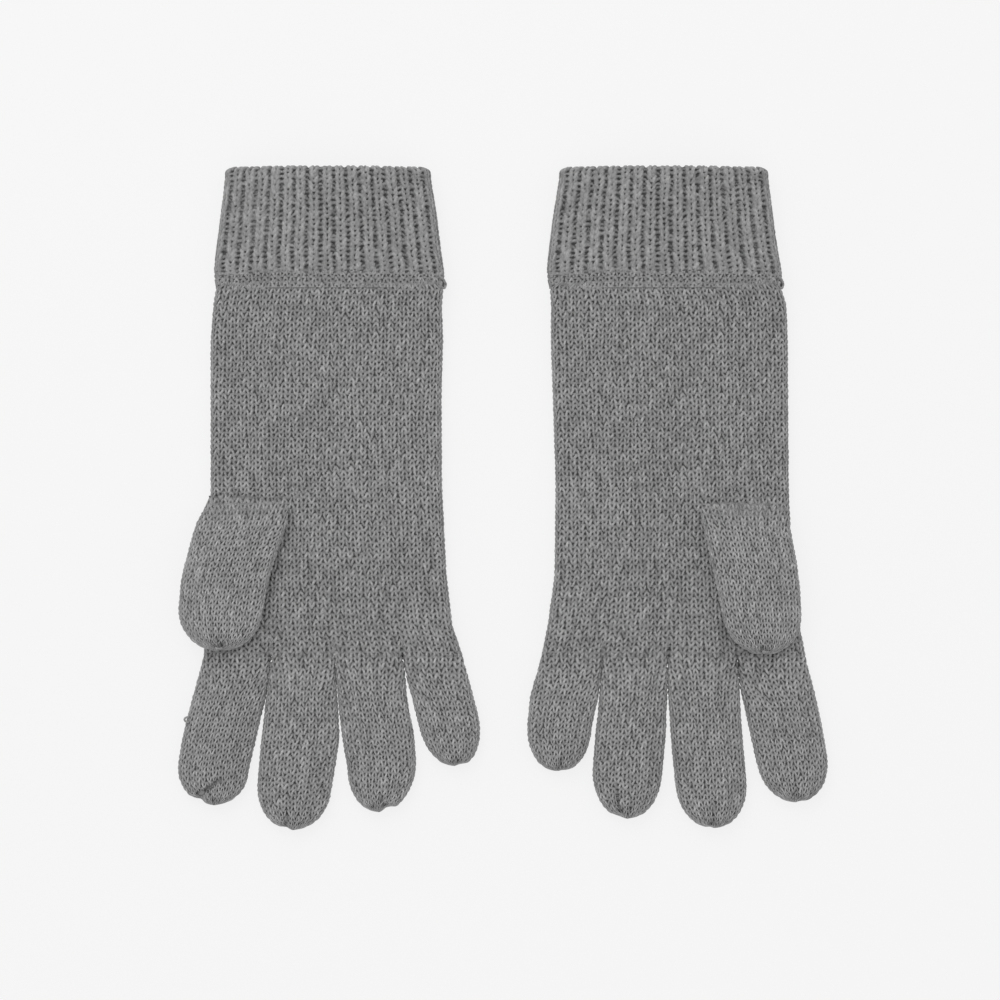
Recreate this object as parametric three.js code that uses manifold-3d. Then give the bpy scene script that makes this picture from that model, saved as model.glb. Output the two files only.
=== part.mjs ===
// A pair of knitted gloves with turned-back rib cuffs, laid flat side by side, palms up.
// Millimetres, +Z up, fingers pointing to -Y, cuffs to +Y, gloves resting on z = 0.
// Every knitted tube is a hollow, flattened tube of one fabric layer.

import * as THREE from 'three';
import { mergeVertices } from 'three/addons/utils/BufferGeometryUtils.js';
import Module from 'manifold-3d';

const wasm = await Module();
wasm.setup();

// ---- driving dimensions -------------------------------------------------------------

const WALL = 1.8; // one layer of knitted fabric
const GAP = 0.3; // clearance between pieces that touch
const TUBE = 8.6; // flattened thickness of the hand and of each finger
const THUMB_TUBE = 8.4; // flattened thickness of the thumb
const TIP_FLATTEN = 1.2; // how far a fingertip thins on its top and on its underside
const TIP_HOLE = 3; // half the width of the small hole that the gathered yarn closes
const LAYER = WALL + GAP; // one turned-back layer with its clearance

const ROOT_Y = -62; // line where the finger tubes leave the hand tube
const HAND_TOP_Y = 86.2; // where the stockinette hand meets the rib
const LIFT_START_Y = 62; // the hand starts to rise onto the turned-back layer
const LIFT_END_Y = 80; // and lies on it from here on
const EDGE_START_Y = 82.3; // free edge of the turned-back cuff
const EDGE_END_Y = 88.2; // where the smooth edge band meets the rib
const FOLD_Y = 129.1; // the fold at the mouth of the glove
const FOLD_START_Y = 125.4; // where the fold begins to round over

const SLOT_LENGTH = 24; // thumb slit in the palm, along X
const SLOT_WIDTH = 6; // and along Y
const SLOT_SET_BACK = 5.6; // from the thumb's base line to the middle of the slit

// Profile of the fold: [set back from FOLD_Y, depth below the cuff's outer face].
const FOLD_SHOULDER = [0.9, 1.2];
const FOLD_CREST = [0, 2.6];

const GATHER = [2.7, 1, 1.1]; // half sizes of the yarn drawn up in a tip
const GATHER_SET_BACK = 1.05; // from the tip to the middle of that yarn
const CROTCH_STITCH = [2, 3, 0.7]; // half sizes of a stitch that closes a crotch
const CROTCH_NAMES = ['index_middle', 'middle_ring', 'ring_little'];
const YARN_END = [1.6, 4, 0.7]; // half sizes of the woven-in yarn end on the cuff
const PAD_SEGMENTS = [8, 6]; // facets of those pads of yarn, round and from pole to pole
const YARN_END_TURN = 0.87; // where it lies on the cuff's rounded side, radians above +X

const END_STEPS = 6; // facets of each rounded side of a tube
const CAP_STEPS = 4; // rings of each rounded fingertip
const PAIR_CENTRING = [0.4, 0.25]; // puts the middle of the pair's box on the origin

// Rows are [y, index side, little side]: distances from the glove's centre line,
// positive towards the little finger, at height y. A tip is [y, x].
const RIGHT = {
  name: 'right',
  centreX: -69.1,
  littleSide: 1,
  hand: [
    [76, -44.9, 45.1],
    [LIFT_START_Y, -46.2, 45.5],
    [40, -46.2, 44.9],
    [5, -46.2, 45.1],
    [-30, -46.4, 46.8],
    [-50, -47.7, 49.1],
    [ROOT_Y, -49, 53.2],
  ],
  cuff: [
    [EDGE_START_Y, -44.3, 46.2],
    [EDGE_END_Y, -44.7, 45.9],
    [97, -43.8, 44.6],
    [110, -42.1, 43.1],
    [FOLD_START_Y, -40.3, 40.6],
  ],
  fingers: {
    index: {
      rows: [
        [ROOT_Y, -49, -22.3],
        [-78, -53.2, -24.3],
        [-94.4, -57.4, -27.8],
        [-107, -59.3, -30.9],
      ],
      tip: [-120.2, -44.6],
    },
    middle: {
      rows: [
        [ROOT_Y, -22, 2.6],
        [-78, -24.1, 3.6],
        [-94.4, -26.3, 4.9],
        [-114, -28, 1.8],
      ],
      tip: [-130, -13.6],
    },
    ring: {
      rows: [
        [ROOT_Y, 2.9, 29.3],
        [-78, 4, 31.2],
        [-94.4, 5.4, 34.3],
        [-105, 7.4, 35],
      ],
      tip: [-123, 20.3],
    },
    little: {
      rows: [
        [ROOT_Y, 29.6, 53.2],
        [-78, 32.6, 57.4],
        [-88, 35.2, 59.9],
      ],
      tip: [-104.9, 50],
    },
  },
  thumb: {
    rows: [
      [-1.6, -47.2, -14.6],
      [-10, -51.4, -15],
      [-21, -54.6, -18.9],
      [-31, -57.2, -22],
      [-44, -58.6, -24.6],
    ],
    tip: [-59.7, -41.8],
  },
  crotches: [
    [-57.2, -22.1],
    [-57.6, 2.6],
    [-57.2, 29.4],
  ],
  thumbCrotch: [1, -11.6],
};

const LEFT = {
  name: 'left',
  centreX: 65,
  littleSide: -1,
  hand: [
    [76, -46.1, 46.6],
    [LIFT_START_Y, -46.8, 46.7],
    [40, -46.9, 45.9],
    [5, -47.2, 44.8],
    [-30, -48.4, 45.2],
    [-50, -51.4, 47.9],
    [ROOT_Y, -53.7, 50.4],
  ],
  cuff: [
    [EDGE_START_Y, -44.4, 47.6],
    [EDGE_END_Y, -44.3, 48.3],
    [97, -42.6, 47.4],
    [110, -40.8, 45.8],
    [FOLD_START_Y, -38.8, 43.3],
  ],
  fingers: {
    index: {
      rows: [
        [ROOT_Y, -53.7, -26.8],
        [-78, -57.7, -28.4],
        [-90, -60.3, -31],
        [-103, -62.5, -33.9],
      ],
      tip: [-119.2, -49.8],
    },
    middle: {
      rows: [
        [ROOT_Y, -26.5, 0.4],
        [-78, -27.9, 0.4],
        [-92, -28.8, -0.2],
        [-113, -30.7, -2.2],
      ],
      tip: [-129.3, -17.2],
    },
    ring: {
      rows: [
        [ROOT_Y, 0.7, 26],
        [-78, 0.8, 27.4],
        [-92, 1, 29.1],
        [-108, 2.5, 30.4],
      ],
      tip: [-125.5, 16.5],
    },
    little: {
      rows: [
        [ROOT_Y, 26.3, 50.4],
        [-78, 27.8, 54.9],
        [-91, 30.3, 56.1],
      ],
      tip: [-107, 43.4],
    },
  },
  thumb: {
    rows: [
      [-2.7, -46.7, -11.2],
      [-12, -47.2, -12.8],
      [-25, -49.7, -15.6],
      [-36, -51.1, -18],
      [-46, -51.6, -20],
    ],
    tip: [-61, -37],
  },
  crotches: [
    [-57.4, -25],
    [-57.4, 0.6],
    [-57.2, 26.2],
  ],
  thumbCrotch: [1, -8.4],
};

// ---- materials ----------------------------------------------------------------------

const knit = new THREE.MeshStandardMaterial({ color: 0x7c7c7c, roughness: 0.95, metalness: 0 });
const rib = new THREE.MeshStandardMaterial({ color: 0x787878, roughness: 0.95, metalness: 0 });
const yarn = new THREE.MeshStandardMaterial({ color: 0x848484, roughness: 0.9, metalness: 0 });

// ---- shapes -------------------------------------------------------------------------

// Closed outline of a flattened tube in a plane of constant y: flat above and below,
// round at both sides, anticlockwise from the lower end of the right-hand round.
function ring(y, x0, x1, z0, z1) {
  const halfHeight = (z1 - z0) / 2;
  const bend = Math.min(halfHeight, (x1 - x0) / 2);
  const points = [];
  for (let i = 0; i < 2 * (END_STEPS + 1); i++) {
    const onRight = i <= END_STEPS;
    const turn = ((onRight ? i : i - 1) / END_STEPS - 0.5) * Math.PI;
    const centre = onRight ? x1 - bend : x0 + bend;
    const x = centre + bend * Math.cos(turn);
    const z = z0 + halfHeight * (1 + Math.sin(turn));
    points.push(new THREE.Vector3(x, y, z));
  }
  return points;
}

// The ring of a glove's row: x is measured towards the little finger.
function rowRing(glove, [y, indexSide, littleSide], z0, z1, inset = 0) {
  const a = glove.littleSide * (indexSide + inset);
  const b = glove.littleSide * (littleSide - inset);
  return ring(y, Math.min(a, b), Math.max(a, b), z0 + inset, z1 - inset);
}

function signedVolume(positions, index) {
  const corner = [new THREE.Vector3(), new THREE.Vector3(), new THREE.Vector3()];
  let sum = 0;
  for (let i = 0; i < index.length; i += 3) {
    corner.forEach((v, k) => v.fromArray(positions, 3 * index[i + k]));
    sum += corner[0].dot(corner[1].cross(corner[2]));
  }
  return sum / 6;
}

// Skin over a row of rings. With endCaps the two ends are closed by fans, otherwise the
// last ring joins the first one, which makes a hollow tube out of an outer and an inner skin.
function loft(rings, endCaps = false) {
  const size = rings[0].length;
  const positions = rings.flat().flatMap((p) => [p.x, p.y, p.z]);
  const index = [];
  const bands = endCaps ? rings.length - 1 : rings.length;
  for (let band = 0; band < bands; band++) {
    const here = band * size;
    const there = ((band + 1) % rings.length) * size;
    for (let i = 0; i < size; i++) {
      const j = (i + 1) % size;
      index.push(here + i, here + j, there + j);
      index.push(here + i, there + j, there + i);
    }
  }
  if (endCaps) {
    const last = (rings.length - 1) * size;
    for (let i = 1; i < size - 1; i++) {
      index.push(0, i + 1, i);
      index.push(last, last + i, last + i + 1);
    }
  }
  if (signedVolume(positions, index) < 0) index.reverse();
  const geometry = new THREE.BufferGeometry();
  geometry.setAttribute('position', new THREE.Float32BufferAttribute(positions, 3));
  geometry.setIndex(index);
  return geometry;
}

function toSolid(geometry) {
  const bare = geometry.clone();
  bare.deleteAttribute('normal');
  bare.deleteAttribute('uv');
  const merged = mergeVertices(bare);
  const vertProperties = new Float32Array(merged.attributes.position.array);
  const triVerts = new Uint32Array(merged.index.array);
  return new wasm.Manifold(new wasm.Mesh({ numProp: 3, vertProperties, triVerts }));
}

function toGeometry(solid) {
  const mesh = solid.getMesh();
  const geometry = new THREE.BufferGeometry();
  geometry.setAttribute('position', new THREE.BufferAttribute(mesh.vertProperties, 3));
  geometry.setIndex(new THREE.BufferAttribute(mesh.triVerts, 1));
  return geometry;
}

// Slit between the palm and the thumb, as a block from z0 to z1.
function thumbSlit(glove, z0, z1) {
  const [baseY, indexSide, littleSide] = glove.thumb.rows[0];
  const block = new THREE.BoxGeometry(SLOT_LENGTH, SLOT_WIDTH, z1 - z0);
  const middle = (glove.littleSide * (indexSide + littleSide)) / 2;
  block.translate(middle, baseY - SLOT_SET_BACK, (z0 + z1) / 2);
  return toSolid(block);
}

// Rings of a finger or thumb from its base to its gathered tip. The tip is a quarter
// ellipse in plan that stops at a small hole, and it thins towards that hole.
function digitRings(glove, digit, z0, z1, inset) {
  const rings = digit.rows.map((row) => rowRing(glove, row, z0, z1, inset));
  const [capY, indexSide, littleSide] = digit.rows.at(-1);
  const [tipY, tipX] = digit.tip;
  const half = (littleSide - indexSide) / 2 - inset;
  const middle = (littleSide + indexSide) / 2;
  const lastTurn = Math.acos((TIP_HOLE + WALL - inset) / half);
  for (let step = 1; step <= CAP_STEPS; step++) {
    const turn = (lastTurn * step) / CAP_STEPS;
    const reach = Math.sin(turn) / Math.sin(lastTurn);
    const y = capY + (tipY + inset - capY) * reach;
    const x = glove.littleSide * (middle + (tipX - middle) * reach);
    const thin = inset + TIP_FLATTEN * reach;
    const width = half * Math.cos(turn);
    rings.push(ring(y, x - width, x + width, z0 + thin, z1 - thin));
  }
  return rings;
}

function digitTube(glove, digit, z0, z1) {
  const outer = digitRings(glove, digit, z0, z1, 0);
  const inner = digitRings(glove, digit, z0, z1, WALL);
  return loft([...outer, ...inner.reverse()]);
}

// ---- sub-parts ----------------------------------------------------------------------

// Palm and back as one tube, open to the fingers and to the rib, slit for the thumb.
function handGeometry(glove) {
  const [, indexSide, littleSide] = glove.cuff[0];
  const neck = [indexSide + LAYER, littleSide - LAYER];
  const rows = [[HAND_TOP_Y, ...neck], [LIFT_END_Y, ...neck], ...glove.hand];
  const skin = (inset) => rows.map((row) => {
    const rise = THREE.MathUtils.clamp((row[0] - LIFT_START_Y) / (LIFT_END_Y - LIFT_START_Y), 0, 1);
    return rowRing(glove, row, rise * LAYER, rise * LAYER + TUBE, inset);
  });
  const tube = toSolid(loft([...skin(0), ...skin(WALL).reverse()]));
  const insideTube = TUBE - 2 * WALL;
  const aboveTube = TUBE + WALL;
  return toGeometry(tube.subtract(thumbSlit(glove, insideTube, aboveTube)));
}

// Rings of the cuff at the given depth below its outer face.
function cuffRings(rows, glove, depth) {
  return rows.map((row) => rowRing(glove, row, 0, TUBE + 2 * LAYER, depth));
}

// Inner layer of the rib, from the hand up to the fold. Its lower end is as narrow as the
// narrowest part of the edge band, which passes over it when the cuff is unrolled.
function wristRibGeometry(glove) {
  const [edgeStart, edgeEnd, ...rows] = glove.cuff;
  const indexSide = Math.max(edgeStart[1], edgeEnd[1]);
  const littleSide = Math.min(edgeStart[2], edgeEnd[2]);
  const [, foldIndex, foldLittle] = rows.at(-1);
  const layerRows = [
    [HAND_TOP_Y + GAP, indexSide, littleSide],
    [EDGE_END_Y, indexSide, littleSide],
    ...rows,
    [FOLD_Y - LAYER, foldIndex, foldLittle],
  ];
  const outer = cuffRings(layerRows, glove, LAYER);
  const inner = cuffRings(layerRows, glove, LAYER + WALL);
  return loft([...outer, ...inner.reverse()]);
}

// Outer layer of the rib with the fold itself, a lip that reaches over the inner layer.
function cuffTurnbackGeometry(glove) {
  const [, ...rows] = glove.cuff;
  rows[0] = [EDGE_END_Y + GAP, ...rows[0].slice(1)];
  const [, foldIndex, foldLittle] = rows.at(-1);
  const fold = [
    FOLD_SHOULDER,
    FOLD_CREST,
    [0, LAYER + WALL - GAP],
    [WALL, LAYER + WALL],
    [WALL, WALL],
  ].map(([setBack, depth]) => {
    const row = [FOLD_Y - setBack, foldIndex, foldLittle];
    return rowRing(glove, row, 0, TUBE + 2 * LAYER, depth);
  });
  const outer = cuffRings(rows, glove, 0);
  const inner = cuffRings(rows.slice(0, -1), glove, WALL);
  return loft([...outer, ...fold, ...inner.reverse()]);
}

// Smooth tubular band along the free edge of the turned-back cuff.
function cuffEdgeGeometry(glove) {
  const rows = glove.cuff.slice(0, 2);
  return loft([...cuffRings(rows, glove, 0), ...cuffRings(rows, glove, WALL).reverse()]);
}

// The thumb tube lies on the palm. Its base is closed above and open below, at the slit.
function thumbGeometry(glove) {
  const z0 = TUBE + GAP;
  const z1 = z0 + THUMB_TUBE;
  const tube = toSolid(digitTube(glove, glove.thumb, z0, z1));
  const [base] = glove.thumb.rows;
  const wallFront = rowRing(glove, base, z0, z1);
  const wallBack = rowRing(glove, [base[0] - WALL, ...base.slice(1)], z0, z1);
  const closed = tube.add(toSolid(loft([wallFront, wallBack], true)));
  const belowTube = z0 - WALL;
  const insideTube = z0 + 2 * WALL;
  return toGeometry(closed.subtract(thumbSlit(glove, belowTube, insideTube)));
}

// A small pad of yarn: an ellipsoid with the given half sizes.
function yarnPad(halfX, halfY, halfZ) {
  const geometry = new THREE.SphereGeometry(1, ...PAD_SEGMENTS);
  geometry.scale(halfX, halfY, halfZ);
  return geometry;
}

// ---- assembly -----------------------------------------------------------------------

function addMesh(group, name, geometry, material, position = [0, 0, 0]) {
  const mesh = new THREE.Mesh(geometry, material);
  mesh.name = name;
  mesh.position.set(...position);
  group.add(mesh);
  return mesh;
}

// Drawn-up yarn that closes the hole in a tip, halfway up the tube's thickness.
function addTipGather(group, glove, digitName, [tipY, tipX], middleZ) {
  const position = [glove.littleSide * tipX, tipY + GATHER_SET_BACK, middleZ];
  addMesh(group, `${glove.name}_${digitName}_tip_gather`, yarnPad(...GATHER), yarn, position);
}

function buildGlove(glove) {
  const group = new THREE.Group();
  const label = (piece) => `${glove.name}_${piece}`;
  addMesh(group, label('hand'), handGeometry(glove), knit);
  addMesh(group, label('wrist_rib'), wristRibGeometry(glove), rib);
  addMesh(group, label('cuff_turnback'), cuffTurnbackGeometry(glove), rib);
  addMesh(group, label('cuff_edge'), cuffEdgeGeometry(glove), rib);

  for (const [name, finger] of Object.entries(glove.fingers)) {
    const rows = finger.rows.map((row, i) => (i === 0 ? [ROOT_Y - GAP, ...row.slice(1)] : row));
    addMesh(group, label(`${name}_finger`), digitTube(glove, { ...finger, rows }, 0, TUBE), knit);
    addTipGather(group, glove, name, finger.tip, TUBE / 2);
  }
  addMesh(group, label('thumb'), thumbGeometry(glove), knit);
  addTipGather(group, glove, 'thumb', glove.thumb.tip, TUBE + GAP + THUMB_TUBE / 2);

  const stitchZ = TUBE + GAP + CROTCH_STITCH[2];
  glove.crotches.forEach(([y, x], i) => {
    const position = [glove.littleSide * x, y, stitchZ];
    addMesh(group, label(`${CROTCH_NAMES[i]}_crotch_stitch`), yarnPad(...CROTCH_STITCH), yarn, position);
  });
  const [thumbCrotchY, thumbCrotchX] = glove.thumbCrotch;
  const thumbCrotch = [glove.littleSide * thumbCrotchX, thumbCrotchY, stitchZ];
  addMesh(group, label('thumb_crotch_stitch'), yarnPad(...CROTCH_STITCH), yarn, thumbCrotch);

  addYarnEnd(group, glove);
  group.position.set(glove.centreX, 0, 0);
  return group;
}

// Yarn end woven in on the rounded side of the edge band, at the pair's +X side.
function addYarnEnd(group, glove) {
  const [, indexSide, littleSide] = glove.cuff[0];
  const rightEdge = Math.max(glove.littleSide * indexSide, glove.littleSide * littleSide);
  const bend = TUBE / 2 + LAYER;
  const reach = bend + GAP + YARN_END[2];
  const x = rightEdge - bend + reach * Math.cos(YARN_END_TURN);
  const z = bend + reach * Math.sin(YARN_END_TURN);
  const y = (EDGE_START_Y + EDGE_END_Y) / 2;
  const end = addMesh(group, `${glove.name}_cuff_yarn_end`, yarnPad(...YARN_END), yarn, [x, y, z]);
  end.rotation.y = Math.PI / 2 - YARN_END_TURN;
}

const pair = new THREE.Group();
pair.add(buildGlove(RIGHT), buildGlove(LEFT));
pair.position.set(...PAIR_CENTRING, 0);

export default pair;
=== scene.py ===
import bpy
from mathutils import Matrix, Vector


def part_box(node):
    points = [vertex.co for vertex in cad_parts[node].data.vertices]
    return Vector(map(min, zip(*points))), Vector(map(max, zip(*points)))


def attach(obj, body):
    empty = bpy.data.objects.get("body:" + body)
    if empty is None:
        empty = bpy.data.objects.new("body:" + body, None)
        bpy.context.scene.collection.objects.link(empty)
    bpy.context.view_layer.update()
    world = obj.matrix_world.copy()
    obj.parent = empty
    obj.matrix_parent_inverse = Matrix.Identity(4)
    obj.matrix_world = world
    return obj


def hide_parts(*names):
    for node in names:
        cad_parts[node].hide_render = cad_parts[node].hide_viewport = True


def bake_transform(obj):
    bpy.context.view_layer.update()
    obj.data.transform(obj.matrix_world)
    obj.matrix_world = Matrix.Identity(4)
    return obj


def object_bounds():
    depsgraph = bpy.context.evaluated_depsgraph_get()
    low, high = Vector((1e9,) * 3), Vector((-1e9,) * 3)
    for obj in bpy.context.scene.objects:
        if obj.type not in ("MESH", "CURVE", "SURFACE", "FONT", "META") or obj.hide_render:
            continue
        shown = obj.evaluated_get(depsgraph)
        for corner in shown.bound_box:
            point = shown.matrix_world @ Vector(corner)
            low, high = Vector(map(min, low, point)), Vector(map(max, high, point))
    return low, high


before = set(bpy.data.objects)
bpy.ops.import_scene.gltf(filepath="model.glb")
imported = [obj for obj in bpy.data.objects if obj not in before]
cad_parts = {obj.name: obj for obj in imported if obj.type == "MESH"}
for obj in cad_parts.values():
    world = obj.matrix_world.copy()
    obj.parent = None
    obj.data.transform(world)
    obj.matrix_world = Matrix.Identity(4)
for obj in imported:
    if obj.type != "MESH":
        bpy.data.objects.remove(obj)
cad_box = [list(corner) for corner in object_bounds()]

import math

import bmesh
import bpy
import numpy as np

# A pair of knitted gloves, laid flat, palms up. All sizes below are in millimetres, in the
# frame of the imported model; meshes are turned into metres when they are made.

# ---- driving sizes ------------------------------------------------------------------

WALE = 2.95  # width of one stitch
COURSE = 2.15  # height of one row of stitches
RIB_COURSE = 2.0  # height of one row in the ribbing
RIB_PITCH = 4.8  # from one knit column of the ribbing to the next
WALL = 1.8  # one layer of fabric
LAYER = 2.1  # one turned-back layer with its clearance
EDGE_ROUND = 2.0  # how far in from its side a flattened tube rounds over
CUFF_ROUND = 3.0  # the same for the doubled cuff
TIP_ROUND = 4.5  # how far in from its end a tip rounds over
CROWN_DROP = 0.35  # share by which a flattened tube is thinner at its sides
FINGER_PRESS = 0.5  # how far neighbouring fingers bulge into the gap between them
TIP_REACH = 0.7  # how far the relief of a tip stands out past its end
PICK_UP_CREASE = {"right": 1.0, "left": 0.45}  # depth of the crease along the thumb's base
FOLD_CORNER = 3.2  # radius of the fold's corners in plan
FOLD_REACH = 0.5  # how far the relief of the fold stands out past it
MID_DEPTH = 0.8  # the depth whose painted shade a change of contrast leaves as it is
WRIST_PLAY = 0.7  # between the inner rib and the layer that slides over it
BAND_TAPER = 4.6  # length over which the edge band thins towards the free edge
BAND_RIBS = (3, 11)  # how far from the free edge the purl columns start to deepen, and are deep
BAND_PLAIN = (4, 7)  # how far from the free edge plain knitting turns into ribbing
UNDER_BAND = 2.3  # how far below the edge band the hand reaches its own width
SHOULDER = 4.5  # length over which the hand widens to that place
THUMB_START = 1.2  # how far behind the thumb's node its tube begins
THUMB_TUCK = (0.5, 3.0)  # how far the base's corners are drawn in, at the hand's edge and inside
THUMB_PLAY = 0.15  # between the palm and the thumb that lies on it
THUMB_SINK = 2.7  # how far the thumb's base sinks into the palm
CROWN_BLEND = 30  # length over which the hand's crown turns into the fingers'
LIP = ((1.2, 1.1), (0.5, 0.6))  # how far behind a digit's base its hidden rim runs, and how deep
TIP_HOLE = ((0.4, 0.3), (0.28, 0.7), (0.16, 1.2))  # half width and depth of a tip's closed end

LEG_RADIUS = 0.50  # half the width of a stitch's leg
LEG_LIFT = 0.34  # how far the middle of a leg arches up
YARN_TOP = LEG_RADIUS + LEG_LIFT  # highest point of a stitch over the fabric's middle
PIT = -0.16  # height of the bottom between the yarns
NOTHING = -9.0  # a height below everything
RIB_DROP = 0.85  # how far the purl columns lie below the knit columns

TUBE_HALF = (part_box("right_hand")[1][2] - LAYER / 1000) * 500  # half a flattened tube's thickness
HAND_WALES = 33  # across the front of the hand, and as many across its back
CUFF_RIBS = 18  # across the front of the cuff, and as many across its back
GUSSET = 20  # length over which a finger's wales spread to their own width
GROOVE_LENGTH = 8.5  # how far the crease of a crotch runs up into the hand

FRONT_SAMPLES = 9  # points across a wale on the palm side
BACK_SAMPLES = 4  # and on the back
ROW_SAMPLES = 5  # points along a course
INNER_ROWS = 22  # rows of points on the inner face of a tube

FABRIC_SALT, CUFF_SALT, WRIST_SALT, WAVE_SALT = 10, 500, 540, 900  # seeds of the noise

YARN_RADIUS = {"drawn": 0.42, "darning": 0.5, "woven_in": 0.55}
YARN_SIDES = 12  # corners of a yarn's section
SNAG_PLACE = ("right", "index")  # a loop pulled out of the knitting at the finger's side
SNAG_REACH = 25  # from the finger's root
SNAG = ((1.6, 1.2), (0.4, 1.0), (-0.5, 0.5), (-0.7, -0.2), (-0.1, -0.8), (1.4, -1.2))

FLOOR_REACH, FLOOR_Z = 4, -0.0005  # metres
FIELD = 0.39  # metres across the picture, at the gloves' upper face
LENS, SENSOR = 100, 36  # the lens and the sensor, in millimetres like any camera

FINGERS = ("index", "middle", "ring", "little")
SIDES = ("right", "left")


# ---- small mathematics --------------------------------------------------------------

def lerp(a, b, t):
    """From a at t = 0 to b at t = 1."""
    return a + (b - a) * t


def smooth(low, high, value):
    """0 below low, 1 above high, and a smooth rise between them."""
    t = np.clip((value - low) / (high - low), 0, 1)
    return t * t * (3 - 2 * t)


def hashed(i, j, salt):
    """An even spread of numbers from 0 to 1, one for each pair of whole numbers."""
    i = np.asarray(i).astype(np.int64)
    j = np.asarray(j).astype(np.int64)
    n = (i * 374761393 + j * 668265263 + salt * 2246822519) & 0xFFFFFFFF
    n = ((n ^ (n >> 13)) * 1274126177) & 0xFFFFFFFF
    return ((n ^ (n >> 16)) & 0xFFFF) / 65535.0


def noise(x, y, salt):
    """Smooth noise from -1 to 1 that changes over about one unit."""
    i, j = np.floor(x), np.floor(y)
    u, v = x - i, y - j
    u, v = u * u * (3 - 2 * u), v * v * (3 - 2 * v)
    low = lerp(hashed(i, j, salt), hashed(i + 1, j, salt), u)
    high = lerp(hashed(i, j + 1, salt), hashed(i + 1, j + 1, salt), u)
    return 2 * lerp(low, high, v) - 1


def along(points):
    """Distance of each point of a line from its start."""
    steps = np.linalg.norm(np.diff(points, axis=0), axis=1)
    return np.concatenate([[0], np.cumsum(steps)])


def resampled(points, count):
    """The same line with count points, evenly spaced."""
    reach = along(points)
    want = np.linspace(0, reach[-1], count)
    return np.stack([np.interp(want, reach, points[:, k]) for k in range(points.shape[1])], 1)


def smoothed(points, sigma, step=0.4):
    """The line with its corners rounded over about sigma, its two ends kept."""
    fine = resampled(points, int(along(points)[-1] / step) + 2)
    size = int(3 * sigma / step)
    weights = np.exp(-0.5 * (np.arange(-size, size + 1) * step / sigma) ** 2)
    weights /= weights.sum()
    before = 2 * fine[0] - fine[size:0:-1]
    after = 2 * fine[-1] - fine[-2:-size - 2:-1]
    padded = np.concatenate([before, fine, after])
    return np.stack([np.convolve(padded[:, k], weights, "valid") for k in range(fine.shape[1])], 1)


# ---- outlines, read from the CAD nodes ----------------------------------------------

def node_lines(name):
    """A CAD node's mesh edges as two arrays of end points."""
    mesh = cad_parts[name].data
    points = np.empty(3 * len(mesh.vertices), np.float32)
    mesh.vertices.foreach_get("co", points)
    edges = np.empty(2 * len(mesh.edges), np.int32)
    mesh.edges.foreach_get("vertices", edges)
    points = points.reshape(-1, 3).astype(float) * 1000
    edges = edges.reshape(-1, 2)
    return points[edges[:, 0]], points[edges[:, 1]]


def slices(name, heights):
    """Rows of (lowest x, highest x, lowest z, highest z) where planes of constant y cut a node."""
    a, b = node_lines(name)
    rows = []
    for y in heights:
        cut = (a[:, 1] - y) * (b[:, 1] - y) < 0
        t = (y - a[cut, 1]) / (b[cut, 1] - a[cut, 1])
        p = a[cut] + (b[cut] - a[cut]) * t[:, None]
        rows.append((p[:, 0].min(), p[:, 0].max(), p[:, 2].min(), p[:, 2].max()))
    return np.array(rows)


def node_box(name):
    """The lowest and highest corner of a CAD node's box, in mm."""
    low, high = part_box(name)
    return np.array(low) * 1000, np.array(high) * 1000


# ---- knitted surface ----------------------------------------------------------------

def leg(dx, dy, foot, head, radius, lift):
    """Height of one leg of a stitch: a yarn from foot to head that arches up by lift."""
    ex, ey = head[0] - foot[0], head[1] - foot[1]
    t = np.clip(((dx - foot[0]) * ex + (dy - foot[1]) * ey) / (ex * ex + ey * ey), 0, 1)
    off = (dx - foot[0] - t * ex) ** 2 + (dy - foot[1] - t * ey) ** 2
    over = np.sqrt(np.clip(radius * radius - off, 0, None))
    return np.where(off < radius * radius, lift * np.sin(math.pi * t) + over, NOTHING)


def stockinette(w, c, wrap, salt):
    """How deep the surface of plain knitting lies below its highest yarn, and each stitch's tone.
    w counts wales and c counts courses, rising towards the cuff."""
    wavy_w = w + 0.13 * noise(w * 0.4, c * 0.15, salt + 1) + 0.05 * noise(w, c * 0.6, salt + 2)
    wavy_c = c + 0.20 * noise(w * 0.3, c * 0.3, salt + 3) + 0.10 * noise(w * 0.9, c * 0.5, salt + 9)
    column, row = np.floor(wavy_w), np.floor(wavy_c)
    best = np.full(w.shape, PIT)
    tone = np.zeros(w.shape)
    for i in (-1, 0, 1):
        for k in (-1, 0, 1):
            wale = np.mod(column + i, wrap)
            course = row + k
            sway = (hashed(wale, course, salt + 4) - 0.5) * 0.10 * WALE
            dx = (wavy_w - column - i - 0.5) * WALE - sway
            dy = (wavy_c - course) * COURSE
            for side in (-1, 1):
                key = 2 * wale + (side > 0)
                size = 0.86 + 0.24 * hashed(key, course, salt + 5)
                lift = LEG_LIFT * (0.45 + 0.65 * hashed(key, course, salt + 6))
                lean = (hashed(key, course, salt + 7) - 0.5) * 0.12
                foot = (side * (0.09 + lean / 2) * WALE, -0.05 * COURSE)
                head = (side * (0.40 + lean) * WALE, 0.98 * COURSE)
                z = leg(dx, dy, foot, head, LEG_RADIUS * size, lift)
                above = z > best
                best = np.where(above, z, best)
                tone = np.where(above, hashed(key, course, salt + 8), tone)
    return np.clip(YARN_TOP - best, 0, None), tone


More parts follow.
